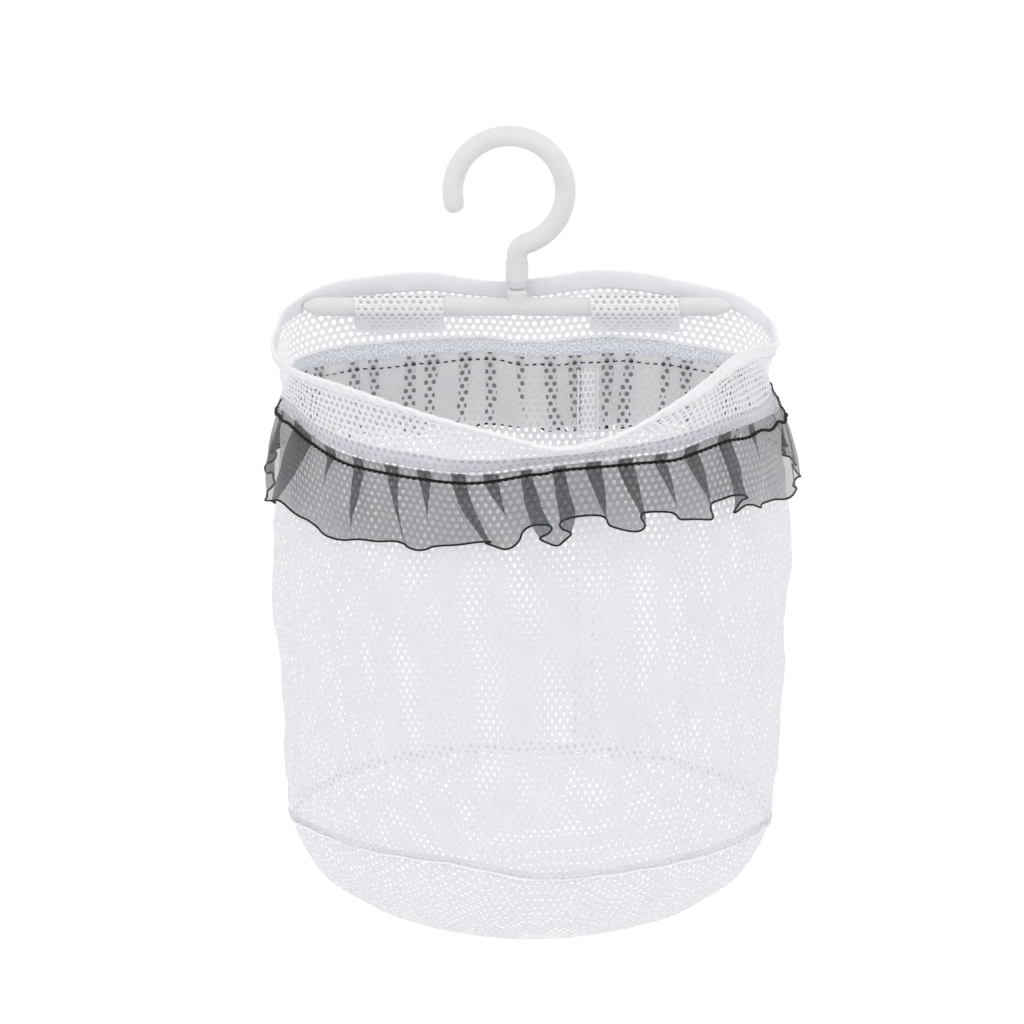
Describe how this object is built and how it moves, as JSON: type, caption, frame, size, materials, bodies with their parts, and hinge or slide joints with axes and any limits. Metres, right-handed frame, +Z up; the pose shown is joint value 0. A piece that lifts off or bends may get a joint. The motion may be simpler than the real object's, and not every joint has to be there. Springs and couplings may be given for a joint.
{
  "type": "mesh laundry bag",
  "caption": "Hanging net laundry bag: a round net bag with a bound open mouth and a sheer ruffle, sewn onto a plastic hanger bar with a swivel hook.",
  "frame": {"origin": "hook seat: the point at the inside top of the hook's bend, where a rail carries the bag", "axes": "+Z up, +X to the right along the hanger bar seen from the front, -Y towards the front of the bag's mouth"},
  "size_m": [0.296, 0.3036, 0.4165],
  "materials": {
    "white_plastic": "smooth semi-gloss moulded white plastic",
    "white_net": "white warp-knit hexagonal net, holes about 3 mm wide",
    "white_tape": "smooth white woven tape with a faint lavender cast",
    "white_thread": "twisted white sewing thread",
    "black_organza": "sheer black organza, pleated",
    "black_hem": "narrow rolled black hem, overlocked",
    "black_thread": "black sewing thread"
  },
  "bodies": {
    "hook": {"hook": "white_plastic", "hook_ferrule": "white_plastic", "swivel_pin": "white_plastic"},
    "hanger": {"hanger_bar": "white_plastic"},
    "bag": {"sleeve_left": "white_net", "sleeve_right": "white_net", "sleeve_stitching_left": "white_thread", "sleeve_stitching_right": "white_thread", "collar_mesh": "white_net", "rim_binding": "white_tape", "rim_stitching": "white_thread", "seam_tape": "white_tape", "ruffle": "black_organza", "ruffle_stitching": "black_thread", "ruffle_hem": "black_hem", "body_mesh": "white_net", "back_seam": "white_net", "base_stitching": "white_thread"},
    "base": {"base_panel": "white_net", "base_binding": "white_tape"}
  },
  "joints": [
    {"name": "hook_swivel", "type": "hinge", "parent": "hook", "child": "hanger", "pos_m": [0.0044, 0, -0.0812], "axis": [0, 0, 1], "continuous": true},
    {"name": "bar_tilt", "type": "hinge", "parent": "hanger", "child": "bag", "pos_m": [0.0044, 0, -0.092], "axis": [1, 0, 0], "range_deg": [-95, 0]},
    {"name": "base_lift", "type": "slide", "parent": "bag", "child": "base", "axis": [0, 0, 1], "range_m": [0, 0.14]}
  ]
}
